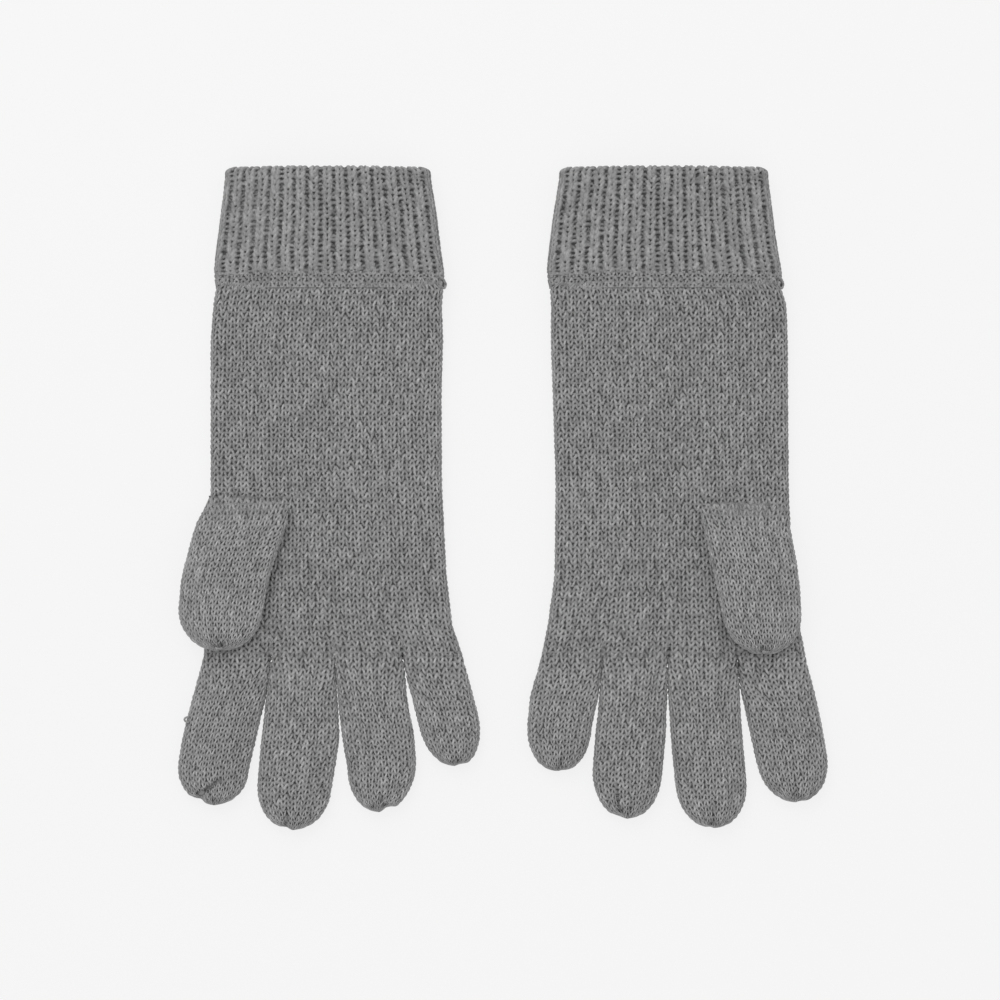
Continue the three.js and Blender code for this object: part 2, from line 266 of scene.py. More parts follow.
def ribbing(w, c, wrap, salt, drop):
    """The same for single ribbing: w counts ribs, each a knit column with a purl column's half
    on both sides. drop is how far the purl columns lie below."""
    wavy_w = w + 0.07 * noise(w * 0.8, c * 0.16, salt + 1) + 0.03 * noise(w * 2, c * 0.5, salt + 2)
    wavy_c = c + 0.32 * noise(w * 1.3, c * 0.3, salt + 3)
    column, row = np.floor(wavy_w), np.floor(wavy_c)
    floor = PIT - drop * 0.75
    best = floor + np.zeros(w.shape)
    tone = np.full(w.shape, 0.3)
    for k in (-1, 0, 1):
        course = row + k
        dy = (wavy_c - course) * RIB_COURSE
        wale = np.mod(column, wrap)
        dx = (wavy_w - column - 0.5) * RIB_PITCH
        for side in (-1, 1):
            key = 2 * wale + (side > 0)
            size = 0.85 + 0.3 * hashed(key, course, salt + 5)
            lean = (hashed(key, course, salt + 7) - 0.5) * 0.35
            foot = (side * 0.36 + lean, -0.12 * RIB_COURSE)
            head = (side * 1.36 + lean, 1.0 * RIB_COURSE)
            lift = LEG_LIFT * (0.5 + 0.6 * hashed(key, course, salt + 6))
            z = leg(dx, dy, foot, head, 0.64 * size, lift)
            above = z > best
            best = np.where(above, z, best)
            tone = np.where(above, hashed(key, course, salt + 8), tone)
        for i in (0, 1):
            purl = np.mod(column + i, wrap)
            px = (wavy_w - column - i) * RIB_PITCH
            tilt = 1.5 * (hashed(purl, course, salt + 9) - 0.5)
            bow = 0.55 * np.cos(px * 1.5) + 0.8 * (hashed(purl, course, salt + 13) - 0.5)
            size = 0.50 + 0.16 * hashed(purl, course, salt + 11)
            sunk = 0.10 + drop * (0.05 + 0.6 * hashed(purl, course, salt + 12))
            z = leg(px, dy - bow, (-1.3, 0.8 - tilt), (1.3, 0.8 + tilt), size, 0.0) - sunk
            above = z > best
            best = np.where(above, z, best)
            tone = np.where(above, hashed(purl, course, salt + 10), tone)
    return np.clip(YARN_TOP - best, 0, None), tone


def cuff_knit(ys, edge_y):
    """The cuff's pattern on rows at heights ys: ribbing whose purl columns grow shallow near the
    free edge, where it turns into plain knitting."""

    def pattern(w, c, wrap, salt):
        y = ys[:, None] + 1.3 * noise(1.1 * w, np.zeros_like(w), salt + 14)
        near = smooth(edge_y + BAND_RIBS[0], edge_y + BAND_RIBS[1], y)
        plain = 1 - smooth(edge_y + BAND_PLAIN[0], edge_y + BAND_PLAIN[1], y)
        rib_depth, rib_tone = ribbing(w, c, wrap, salt, RIB_DROP * (0.2 + 0.8 * near))
        depth, tone = stockinette(2 * w, c, 2 * wrap, salt)
        return lerp(rib_depth, 1.3 * depth, plain), lerp(rib_tone, tone, plain)

    return pattern


# ---- flattened tubes ----------------------------------------------------------------

def column_marks(wales, front=FRONT_SAMPLES, back=BACK_SAMPLES):
    """Places round a tube: from -1 to 1 across the front, and whether each is on the front."""
    n_front, n_back = int(round(wales * front)), int(round(wales * back))
    t_front = -1 + 2 * np.arange(n_front) / n_front
    t_back = 1 - 2 * np.arange(n_back) / n_back
    return np.concatenate([t_front, t_back]), np.arange(n_front + n_back) < n_front


def quarter(round_x, half_height):
    """Turns of a quarter ellipse, and the length of its arc up to each."""
    turns = np.linspace(0, math.pi / 2, 33)
    arc = along(np.stack([round_x * np.sin(turns), half_height * np.cos(turns)], 1))
    return turns, arc


def section(t, half_width, half_height, round_x):
    """Offsets (x, height) of the marks t over half of a flattened tube: flat, then rounded over."""
    round_x = min(round_x, 0.8 * half_width)
    turns, arc = quarter(round_x, half_height)
    flat = half_width - round_x
    reach = np.abs(t) * (flat + arc[-1])
    turn = np.interp(np.clip(reach - flat, 0, None), arc, turns)
    x = np.where(reach <= flat, reach, flat + round_x * np.sin(turn))
    return np.sign(t) * x, half_height * np.cos(turn)


def crown(u):
    """How full a flattened tube is, from 1 along its middle to less towards its sides."""
    return 1 - CROWN_DROP * smooth(0.3, 1.0, np.abs(u))


def grid_normals(points):
    """Outward normals of a grid that closes on itself across its columns."""
    across = np.roll(points, -1, axis=1) - np.roll(points, 1, axis=1)
    down = np.gradient(points, axis=0)
    normals = np.cross(across, down)
    normals /= np.maximum(np.linalg.norm(normals, axis=2, keepdims=True), 1e-9)
    middle = points.mean(axis=1, keepdims=True)
    if ((points - middle) * normals).sum() < 0:
        normals = -normals
    return normals


def undulation(points, salt):
    """Slow rise and fall of fabric that lies loose."""
    x, y = points[..., 0], points[..., 1]
    return 0.30 * noise(x / 17, y / 21, salt) + 0.14 * noise(x / 8, y / 10, salt + 1)


class Skin:
    """Rings of points round a flattened tube, each with the room inside it for the relief."""

    def __init__(self, marks, front):
        self.marks, self.front = marks, front
        self.rings, self.room = [], []

    def ring(self, left, right, floor, half_height, round_x, inset=0.0, shape=None):
        """Adds a ring from left to right, in plan, resting on floor. shape gives the tube's
        fullness at places in plan and how far a crease dips there."""
        left, right = np.asarray(left, float), np.asarray(right, float)
        centre, span = (left + right) / 2, right - left
        full = np.linalg.norm(span) / 2
        inset = min(inset, 0.62 * half_height, 0.45 * full)
        direction = span / max(2 * full, 1e-9)
        x, edge = section(self.marks, full - inset, half_height, max(round_x - inset, 0.4))
        plan = centre + x[:, None] * direction
        u = x / full
        fullness, dip = (crown(u), 0) if shape is None else shape(plan, u)
        middle = half_height * fullness
        height = np.maximum(edge * fullness - inset - dip, 0.06)
        base = floor(plan) if callable(floor) else floor
        z = base + middle + np.where(self.front, height, -height)
        self.rings.append(np.concatenate([plan, z[:, None]], axis=1))
        self.room.append(middle - dip)

    def arrays(self):
        return np.array(self.rings), np.array(self.room)


def make_mesh(name, points, faces, values):
    """A smooth mesh from points in millimetres, four-cornered faces and named values at points."""
    a, b, c = (points[faces[:, k]] for k in (0, 1, 2))
    if (a * np.cross(b, c)).sum() < 0:
        faces = faces[:, ::-1]
    mesh = bpy.data.meshes.new(name)
    mesh.vertices.add(len(points))
    mesh.vertices.foreach_set("co", (points / 1000).astype(np.float32).ravel())
    mesh.loops.add(faces.size)
    mesh.loops.foreach_set("vertex_index", np.ascontiguousarray(faces).astype(np.int32).ravel())
    mesh.polygons.add(len(faces))
    mesh.polygons.foreach_set("loop_start", np.arange(0, faces.size, 4, dtype=np.int32))
    mesh.polygons.foreach_set("use_smooth", np.ones(len(faces), bool))
    for key, value in values.items():
        kind = "FLOAT_VECTOR" if value.ndim == 2 else "FLOAT"
        data = mesh.attributes.new(key, kind, "POINT").data
        field = "vector" if kind == "FLOAT_VECTOR" else "value"
        data.foreach_set(field, value.astype(np.float32).ravel())
    mesh.update(calc_edges=True)
    mesh.validate()
    piece = bpy.data.objects.new(name, mesh)
    bpy.context.scene.collection.objects.link(piece)
    return piece


def grid_piece(name, points, depth, tone, material):
    """A piece from a grid of points that closes on itself both ways."""
    rows, columns = points.shape[:2]
    index = np.arange(rows * columns).reshape(rows, columns)
    right = np.roll(index, -1, axis=1)
    faces = np.stack([index, right, np.roll(right, -1, axis=0), np.roll(index, -1, axis=0)], -1)
    values = {
        "depth": depth.ravel(),
        "tone": tone.ravel(),
        "rest": points.reshape(-1, 3),
    }
    piece = make_mesh(name, points.reshape(-1, 3), faces.reshape(-1, 4), values)
    piece.data.materials.append(material)
    return piece


def knitted(
    name, outer, inner, w, c, wrap, salt, material,
    pattern=stockinette, weight=None, change=None, shade=None, contrast=None, loose=1.0,
):
    """A tube whose outer skin carries the stitches at wales w and courses c. weight is the
    relief's share on each row, change alters the smooth shape, shade adds painted shade to rows,
    contrast deepens the painted shade between their yarns and loose is the share of the slow
    rise and fall."""
    points, room = outer.arrays()
    smooth_z = points[..., 2].copy()
    if change is not None:
        points = change(points, outer.front)
    crease = np.clip(smooth_z - points[..., 2], 0, None)
    share = np.clip(room / 4, 0, 1) * np.where(outer.front, 1, 0.3)
    points[..., 2] += loose * undulation(points, WAVE_SALT) * share
    normals = grid_normals(points)
    depth, tone = pattern(w, c, wrap, salt)
    strength = smooth(0.2, 1.9, room)
    if weight is not None:
        weight = np.asarray(weight)
        strength = strength * (weight if weight.ndim == 2 else weight[:, None])
    points = points - normals * (depth * strength)[..., None]
    points[..., 2] = np.maximum(points[..., 2], 0.02)
    # painted shade: the depth kept for the material darkens its colour in the pits; contrast scales it, and
    # it is deepened along the creases that change presses in and on the rows that shade darkens
    if contrast is not None:
        depth = MID_DEPTH + (depth - MID_DEPTH) * contrast[:, None]
    depth = depth + 0.3 * crease + (0 if shade is None else shade[:, None])
    inside, _ = inner.arrays()
    grid = np.concatenate([points, inside])
    flat = np.full(inside.shape[:2], 0.4)
    return grid_piece(
        name, grid, np.concatenate([depth, flat]), np.concatenate([tone, flat]), material
    )


# ---- materials ----------------------------------------------------------------------

class Nodes:
    """Short calls for building a material's node tree."""

    def __init__(self, name):
        self.material = bpy.data.materials.new(name)
        self.material.use_nodes = True
        self.tree = self.material.node_tree
        self.shader = self.tree.nodes["Principled BSDF"]

    def link(self, source, target):
        self.tree.links.new(source, target)

    def value(self, key):
        node = self.tree.nodes.new("ShaderNodeAttribute")
        node.attribute_name = key
        return node

    def noise(self, place, scale, detail, stretch=(1, 1, 1)):
        mapping = self.tree.nodes.new("ShaderNodeMapping")
        mapping.inputs["Scale"].default_value = stretch
        self.link(place, mapping.inputs["Vector"])
        node = self.tree.nodes.new("ShaderNodeTexNoise")
        node.inputs["Scale"].default_value = scale
        node.inputs["Detail"].default_value = detail
        self.link(mapping.outputs["Vector"], node.inputs["Vector"])
        return node.outputs["Fac"]

    def math(self, operation, a, b):
        node = self.tree.nodes.new("ShaderNodeMath")
        node.operation = operation
        for socket, source in zip(node.inputs, (a, b)):
            if isinstance(source, (int, float)):
                socket.default_value = source
            else:
                self.link(source, socket)
        return node.outputs[0]

    def span(self, source, low, high, new_low, new_high):
        node = self.tree.nodes.new("ShaderNodeMapRange")
        self.link(source, node.inputs["Value"])
        node.inputs["From Min"].default_value = low
        node.inputs["From Max"].default_value = high
        node.inputs["To Min"].default_value = new_low
        node.inputs["To Max"].default_value = new_high
        return node.outputs["Result"]

    def grey(self, source):
        node = self.tree.nodes.new("ShaderNodeCombineColor")
        for socket in node.inputs[:3]:
            self.link(source, socket)
        return node.outputs[0]


def knit_material(name, level, pit_shade_level, deepest):
    """Grey melange wool: light and dark fibres, each stitch its own tone, with painted shade in the pits
    between the yarns, where the depth attribute is high.
    """
    n = Nodes(name)
    place = n.value("rest").outputs["Vector"]
    depth = n.value("depth").outputs["Fac"]
    tone = n.value("tone").outputs["Fac"]
    fibres = n.noise(place, 1.15, 3, (1.6, 0.8, 1.2))
    flecks = n.noise(place, 2.0, 2, (1.4, 0.7, 1))
    cloud = n.noise(place, 0.07, 2)
    light = n.math("MULTIPLY", n.span(fibres, 0.28, 0.72, 0.76, 1.24), n.span(tone, 0, 1, 0.82, 1.18))
    light = n.math("MULTIPLY", light, n.span(flecks, 0.3, 0.7, 0.86, 1.14))
    light = n.math("MULTIPLY", light, n.span(cloud, 0.3, 0.7, 0.95, 1.05))
    # painted shade: the colour darkens with the depth attribute, most in the deepest pits between the yarns
    light = n.math("MULTIPLY", light, n.span(depth, 0.05, deepest, 1.12, pit_shade_level))
    light = n.math("MULTIPLY", light, level)
    n.link(n.grey(light), n.shader.inputs["Base Color"])
    bump = n.tree.nodes.new("ShaderNodeBump")
    bump.inputs["Strength"].default_value = 0.5
    bump.inputs["Distance"].default_value = 0.00025
    n.link(n.noise(place, 4.5, 3, (1.5, 0.6, 1)), bump.inputs["Height"])
    n.link(bump.outputs["Normal"], n.shader.inputs["Normal"])
    n.shader.inputs["Roughness"].default_value = 0.92
    n.shader.inputs["Specular IOR Level"].default_value = 0.25
    n.shader.inputs["Sheen Weight"].default_value = 0.12
    n.shader.inputs["Sheen Roughness"].default_value = 0.5
    return n.material


KNIT = knit_material("melange_stockinette", 0.307, 0.26, 0.95)
DIGIT = knit_material("melange_fingers", 0.328, 0.28, 0.95)
THUMB = knit_material("melange_thumb", 0.338, 0.30, 0.95)
RIB = knit_material("melange_rib", 0.254, 0.36, 1.6)
YARN = knit_material("melange_yarn", 0.26, 0.60, 1.0)


# ---- parts of a glove ---------------------------------------------------------------

def finger_order(side):
    """The fingers' names from low x to high x."""
    return sorted(FINGERS, key=lambda f: node_box(f"{side}_{f}_finger")[0][0])


def root_line(side):
    """The y where the hand ends, its two edges there and the edges of each finger."""
    low, _ = node_box(f"{side}_hand")
    root = low[1]
    edges = slices(f"{side}_hand", [root + 0.1])[0][:2]
    spans = [slices(f"{side}_{f}_finger", [root - 1])[0][:2] for f in finger_order(side)]
    return root, edges, spans


def hand_wale(x, edges, half_height):
    """Wales from the low x edge of the hand at the root line, across its front."""
    centre, half = sum(edges) / 2, (edges[1] - edges[0]) / 2
    _, arc = quarter(EDGE_ROUND, half_height)
    half_arc = half - EDGE_ROUND + arc[-1]
    return HAND_WALES / 2 * (1 + (x - centre) / half_arc)


def hand_shape(side, root, spans):
    """Fullness of the hand: its own crown, turning into the fingers' towards the root line,
    with a crease at each crotch and one along the thumb's base."""
    crotches = [(spans[i][1] + spans[i + 1][0]) / 2 for i in range(3)]
    _, thumb_high = node_box(f"{side}_thumb")
    base_y = thumb_high[1]
    base = slices(f"{side}_thumb", [base_y - 0.5])[0][:2]

    def shape(plan, u):
        x, y = plan[:, 0], plan[0, 1]
        fingers = np.zeros(len(x))
        for low, high in spans:
            fingers = np.maximum(fingers, crown((x - (low + high) / 2) / ((high - low) / 2)))
        fullness = lerp(crown(u), fingers, 1 - smooth(root, root + CROWN_BLEND, y))
        dip = np.zeros(len(x))
        share = 1 - smooth(root + 0.3, root + GROOVE_LENGTH, y)
        for crotch in crotches:
            reach = 0.7 * EDGE_ROUND * max(share, 0.02)
            d = np.clip((np.abs(x - crotch) - 0.05) / reach, 0, 1)
            crease = share * (1 - np.sqrt(1 - (1 - d) ** 2))
            dip = np.maximum(dip, 0.5 * crease * (TUBE_HALF * fullness - 0.4))
        across = smooth(base[0] - 1, base[0] + 5, x) * (1 - smooth(base[1] - 3, base[1] + 1, x))
        wander = base_y + 1.4 + 1.5 * noise(x / 5, np.zeros_like(x), 71)
        dip = np.maximum(dip, PICK_UP_CREASE[side] * across * np.exp(-((y - wander) / 1.0) ** 2))
        return fullness, dip

    return shape


def build_hand(side):
    """The palm and the back in one tube, widened towards the cuff that covers its end."""
    name = f"{side}_hand"
    low, high = node_box(name)
    root, edges, spans = root_line(side)
    band_low, _ = node_box(f"{side}_cuff_edge")
    below = band_low[1] - UNDER_BAND - SHOULDER
    heights = np.arange(high[1] - 0.1, low[1] + 0.05, -0.5)
    cut = slices(name, heights)
    shoulder = slices(name, [below])[0]
    band = slices(f"{side}_cuff_edge", [band_low[1] + 0.2])[0]
    for column, step in ((0, 0.5), (1, -0.5)):
        toward = lerp(shoulder[column], band[column] + step, (heights - below) / (band_low[1] - below))
        wide = (heights > below) & (heights < band_low[1] + 0.6)
        cut[:, column] = np.where(wide, toward, cut[:, column])
    tall = smoothed(np.concatenate([heights[:, None], cut[:, 2:]], axis=1), 2.5)
    left = smoothed(np.stack([cut[:, 0], heights], 1), 1.0)
    right = smoothed(np.stack([cut[:, 1], heights], 1), 1.0)
    courses = (high[1] - low[1]) / COURSE
    ys = np.linspace(high[1] - 0.1, root, int(courses * ROW_SAMPLES))
    marks, front = column_marks(HAND_WALES)
    outer, inner = Skin(marks, front), Skin(marks, front)
    shape = hand_shape(side, root, spans)

    def add(skin, y, inset):
        x0 = np.interp(-y, -left[:, 1], left[:, 0])
        x1 = np.interp(-y, -right[:, 1], right[:, 0])
        z0 = np.interp(-y, -tall[:, 0], tall[:, 1])
        z1 = np.interp(-y, -tall[:, 0], tall[:, 2])
        skin.ring((x0, y), (x1, y), z0, (z1 - z0) / 2, EDGE_ROUND, inset, shape)

    for y in ys:
        add(outer, y, 0)
    for y in np.linspace(root + 0.3, high[1] - 0.3, INNER_ROWS * 2):
        add(inner, y, WALL)
    w = np.where(front, (marks + 1) / 2, 2 - (marks + 1) / 2) * HAND_WALES
    w = np.broadcast_to(w, (len(ys), len(marks)))
    c = np.broadcast_to((ys / COURSE)[:, None], w.shape)
    piece = knitted(f"{side}_palm_and_back", outer, inner, w, c, 2 * HAND_WALES, FABRIC_SALT, KNIT)
    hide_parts(name)
    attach(piece, f"{side}_hand")
    return piece


def digit_lines(name, y_from, press=(None, None), tuck=(0.0, 0.0)):
    """A finger's two sides in plan, from its base to the middle of its tip. A side that a
    neighbour faces bulges towards it where the gap between them is narrow. tuck draws the
    two corners of the base in."""
    low, high = node_box(name)
    heights = np.arange(high[1] - 0.1, low[1] + 0.06, -0.12)
    cut = slices(name, heights)
    for column, neighbour, way in ((0, press[0], -1), (1, press[1], 1)):
        if neighbour is not None:
            n_low, _ = node_box(neighbour)
            facing = slices(neighbour, np.maximum(heights, n_low[1] + 0.1))[:, 1 - column]
            gap = np.abs(facing - cut[:, column])
            reach = high[1] - heights
            narrow = 0.6 * (1 - smooth(0.45, 0.75, gap)) * (1 - smooth(22, 28, reach))
            close = 1 - smooth(9, 15, reach)
            cut[:, column] += way * FINGER_PRESS * np.maximum(narrow, close)
    tip = np.array([[(cut[-1, 0] + cut[-1, 1]) / 2, low[1] - TIP_REACH]])
    start = np.array([[cut[0, 0] + tuck[0], y_from], [cut[0, 1] - tuck[1], y_from]])
    left = np.concatenate([start[:1], np.stack([cut[:, 0], heights], 1), tip])
    right = np.concatenate([start[1:], np.stack([cut[:, 1], heights], 1), tip])
    return smoothed(left, 2.0), smoothed(right, 2.0)


# How the drawn-up tips pucker, in mm from the middle of the yarn that closes them:
# creases as (x, y) to (x, y), depth and half width, and dents as (x, y), depth and radius.
CREASES = {
    "right_index": (((-5.6, 2.8), (2.6, 8.4), 2.2, 0.8), ((0.6, 0.4), (-1.8, 4.6), 0.8, 0.8)),
    "right_middle": (((-3.0, 0.0), (-1.6, 5.6), 1.3, 0.8), ((3.2, 1.6), (2.4, 5.0), 0.7, 0.7)),
    "right_ring": (((2.4, 0.8), (0.2, 5.4), 1.4, 0.9), ((-2.4, 1.2), (-4.0, 4.6), 0.8, 0.8)),
    "right_little": (((1.0, 0.4), (0.4, 3.6), 0.8, 0.8),),
    "right_thumb": (((0.8, 1.0), (-1.6, 5.2), 0.6, 0.8), ((1.4, 1.2), (4.6, 4.0), 0.7, 0.8)),
    "left_index": (((0.6, 0.6), (-2.0, 4.0), 0.8, 0.8),),
    "left_middle": (((-0.4, 1.0), (0.4, 9.4), 0.8, 0.8), ((-1.0, 1.0), (-3.6, 4.6), 0.6, 0.8)),
    "left_ring": (((-3.0, 1.6), (-4.8, 12.0), 1.4, 0.8), ((0.6, 0.4), (1.6, 4.4), 0.8, 0.8)),
    "left_little": (((0.2, 0.4), (1.2, 3.6), 0.8, 0.8),),
    "left_thumb": (((-0.4, 1.2), (1.0, 5.6), 0.5, 0.8), ((-1.4, 1.2), (-4.4, 4.4), 0.7, 0.8)),
}
DENTS = {
    "right_index": ((-5.8, 0.6), 1.5, 2.2),
    "right_middle": ((-3.4, -1.6), 0.9, 1.8),
    "right_ring": ((3.6, -0.6), 1.5, 2.4),
    "right_little": ((2.0, -1.2), 0.5, 2.0),
    "right_thumb": ((1.0, -1.8), 0.6, 1.8),
    "left_index": ((1.6, -1.4), 0.4, 2.0),
    "left_middle": ((-1.2, -1.8), 0.5, 1.6),
    "left_ring": ((-3.4, 0.2), 0.7, 2.2),
    "left_little": ((1.0, -1.4), 0.4, 2.0),
    "left_thumb": ((-0.6, -1.8), 0.4, 1.8),
}


def pucker(side, digit):
    """A change of shape for a digit's skin: its creases and its dent."""
    low, high = node_box(f"{side}_{digit}_tip_gather")
    middle = ((low[0] + high[0]) / 2, (low[1] + high[1]) / 2)

    def change(points, front):
        plan = points[..., :2] - middle
        for start, end, depth, half_width in CREASES[f"{side}_{digit}"]:
            start, end = np.array(start), np.array(end)
            way = end - start
            t = np.clip(((plan - start) @ way) / (way @ way), 0, 1)
            wander = 0.35 * noise(3 * t, np.zeros_like(t), 83)
            off = np.linalg.norm(plan - start - t[..., None] * way, axis=-1) + wander
            deep = depth * np.exp(-(off / half_width) ** 2) * (1 - 0.6 * t ** 2)
            points[..., 2] -= np.where(front, deep, 0)
        place, depth, radius = DENTS[f"{side}_{digit}"]
        off = np.linalg.norm(plan - place, axis=-1)
        inward = -np.array(place) + (0, 6)
        inward = inward / np.linalg.norm(inward)
        points[..., :2] += depth * np.exp(-(off / radius) ** 2)[..., None] * inward
        return points

    return change


def digit_skins(lines, half_height, floor, wales, opening=None):
    """Outer and inner skins of a finger or thumb, its rings' distances from the base, each
    ring's share of relief and the digit's whole length. opening gives the share of the full
    thickness at a distance from the base."""
    left, right = lines
    length = along((resampled(left, 200) + resampled(right, 200)) / 2)[-1]
    rows = int(length / COURSE * (ROW_SAMPLES + 0.5))
    left, right = resampled(left, rows), resampled(right, rows)
    keep = np.linalg.norm(right - left, axis=1) > 1.4
    left, right = left[keep], right[keep]
    centre = (left + right) / 2
    reach = along(centre)
    total = reach[-1]
    marks, front = column_marks(wales)
    outer, inner = Skin(marks, front), Skin(marks, front)
    share = opening or (lambda distance: 1.0)

    def rounded(distance):
        rounding = np.clip((total - distance) / TIP_ROUND, 0.02, 1)
        return max(math.sqrt(1 - (1 - rounding) ** 2), 0.2)

    def half_at(distance):
        return half_height * rounded(distance) * share(distance)

    def rest_at(distance):
        rise = 0.6 * half_height * (1 - rounded(distance))
        return lambda plan: (floor(plan) if callable(floor) else floor) + rise

    back = (centre[0] - centre[3]) / np.linalg.norm(centre[0] - centre[3])
    for behind, depth in LIP:
        move = back * behind
        outer.ring(left[0] + move, right[0] + move, floor, half_at(0), EDGE_ROUND, depth)
    for j in range(len(left)):
        outer.ring(left[j], right[j], rest_at(reach[j]), half_at(reach[j]), EDGE_ROUND)
    inward = centre[-4] - centre[-1]
    inward /= np.linalg.norm(inward)
    across = np.array([1.0, 0.0])
    half = half_at(total)
    for half_hole, behind in TIP_HOLE:
        spot = centre[-1] + inward * behind
        outer.ring(spot - across * half_hole, spot + across * half_hole, rest_at(total), half, 0.3)
    for distance in np.linspace(total - TIP_ROUND, 0.2, INNER_ROWS):
        j = np.interp(distance, reach, np.arange(len(reach)))
        a, b = int(j), min(int(j) + 1, len(left) - 1)
        l, r = lerp(left[a], left[b], j - a), lerp(right[a], right[b], j - a)
        inner.ring(l, r, rest_at(distance), half_at(distance), EDGE_ROUND, WALL)
    before = [-behind for behind, _ in LIP]
    reach = np.concatenate([before, reach, total + np.array([b for _, b in TIP_HOLE])])
    weight = np.where(reach < 0, 0, 1) * (1 - 0.7 * smooth(total - 2, total, reach))
    return outer, inner, reach, weight, total


def digit_wales(width, half_height):
    """Wales across the front of a digit, and as many across its back."""
    girth = 2 * (width - 2 * EDGE_ROUND) + 4 * quarter(EDGE_ROUND, half_height)[1][-1]
    return round(girth / WALE / 2)


def spread_wales(outer, reach, edges, half_height, wales, spread):
    """Wales of a digit: the hand's own at its base, evenly spread round it further on."""
    points, _ = outer.arrays()
    by_hand = hand_wale(points[..., 0], edges, half_height)
    first = len(LIP)
    base = hand_wale(points[first, :, 0].mean(), edges, half_height)
    base = round(2 * base - wales) / 2 + wales / 2
    own = np.broadcast_to(base + outer.marks * wales / 2, by_hand.shape)
    w = lerp(by_hand, own, smooth(1, spread, reach)[:, None])
    return np.where(outer.front, w, 2 * HAND_WALES - w)


def build_finger(side, finger):
    """One finger's tube, which grows out of the hand at its root line."""
    name = f"{side}_{finger}_finger"
    low, high = node_box(name)
    root, edges, _ = root_line(side)
    order = finger_order(side)
    place = order.index(finger)
    before = f"{side}_{order[place - 1]}_finger" if place > 0 else None
    after = f"{side}_{order[place + 1]}_finger" if place < 3 else None
    half_height = (high[2] - low[2]) / 2
    width = high[0] - low[0]
    wales = digit_wales(width, half_height)
    lines = digit_lines(name, root, (before, after))
    outer, inner, reach, weight, total = digit_skins(lines, half_height, low[2], wales)
    w = spread_wales(outer, reach, edges, half_height, wales, GUSSET)
    c = np.broadcast_to((root / COURSE - reach / COURSE)[:, None], w.shape)
    wrap = 2 * HAND_WALES
    piece = knitted(
        f"{side}_{finger}_tube", outer, inner, w, c, wrap, FABRIC_SALT, DIGIT,
        weight=weight, change=pucker(side, finger),
    )
    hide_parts(name)
    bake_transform(piece)
    return piece


def build_thumb(side):
    """The thumb lies on the palm and hangs over the hand's edge. It grows out of the palm at
    the line where its stitches were picked up."""
    name = f"{side}_thumb"
    low, high = node_box(name)
    half_height = (high[2] - low[2]) / 2
    width = high[0] - low[0]
    palm = slices(f"{side}_hand", [high[1] - 20])[0][:2]
    wales = digit_wales(width, half_height)

    def floor(plan):
        u = np.abs(plan[:, 0] - sum(palm) / 2) / ((palm[1] - palm[0]) / 2)
        rest = 2 * TUBE_HALF * (crown(u) - 0.28 * smooth(0.97, 1.35, u))
        near = smooth(high[1] - 8, high[1] + THUMB_START, plan[:, 1])
        return rest + THUMB_PLAY - THUMB_SINK * near

    def opening(distance):
        return 0.12 + 0.88 * smooth(-2, 14, distance)

    on_low_x = (low[0] + high[0]) / 2 < sum(palm) / 2
    start = high[1] + THUMB_START
    lines = digit_lines(name, start, tuck=THUMB_TUCK if on_low_x else THUMB_TUCK[::-1])
    outer, inner, reach, weight, total = digit_skins(lines, half_height, floor, wales, opening)
    w = spread_wales(outer, reach, palm, half_height, wales, 14)
    c = np.broadcast_to(((start - reach) / COURSE)[:, None], w.shape)
    # painted shade: the thumb's rows are darker near its base, where it sinks into the palm
    piece = knitted(
        f"{side}_thumb_tube", outer, inner, w, c, 2 * HAND_WALES, FABRIC_SALT, THUMB,
        weight=weight, change=pucker(side, "thumb"), shade=0.12 * (1 - smooth(2, 14, reach)),
    )
    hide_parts(name)
    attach(piece, f"{side}_thumb")
    return piece


def cuff_side_lines(side):
    """The cuff's two edges in plan from its free edge to the fold, half its thickness and
    the y of the fold."""
    edge_low, edge_high = node_box(f"{side}_cuff_edge")
    low, high = node_box(f"{side}_cuff_turnback")
    lower = np.arange(edge_low[1] + 0.1, edge_high[1] - 0.05, 0.4)
    upper = np.arange(low[1] + 0.1, high[1] - 4, 0.4)
    cut = np.concatenate([slices(f"{side}_cuff_edge", lower), slices(f"{side}_cuff_turnback", upper)])
    ys = np.concatenate([lower, upper])
    left = smoothed(np.stack([cut[:, 0], ys], 1), 2.0)
    right = smoothed(np.stack([cut[:, 1], ys], 1), 2.0)
    return left, right, high[2] / 2, high[1] + FOLD_REACH


def cuff_ring(skin, lines, y, depth, widen=0.0):
    """Adds a ring of the cuff at y, so deep below its outer face and widened at its sides."""
    left, right, half, fold_y = lines
    into_corner = np.clip((y - (fold_y - FOLD_CORNER)) / FOLD_CORNER, 0, 1)
    corner = FOLD_CORNER * (1 - math.sqrt(1 - into_corner ** 2)) * 0.7
    x0 = np.interp(y, left[:, 1], left[:, 0]) + corner - widen
    x1 = np.interp(y, right[:, 1], right[:, 0]) - corner + widen
    skin.ring((x0, y), (x1, y), 0, half, CUFF_ROUND, depth)


def rib_wales(marks, front):
    return np.where(front, (marks + 1) / 2, 2 - (marks + 1) / 2) * CUFF_RIBS + 0.5


def band_contrast(ys, side):
    """Plain knitting is not as deep as the ribs, so the painted shade between its yarns is scaled up."""
    edge_y = node_box(f"{side}_cuff_edge")[0][1]
    return 1 + 0.8 * (1 - smooth(edge_y + BAND_PLAIN[0], edge_y + BAND_PLAIN[1], ys))


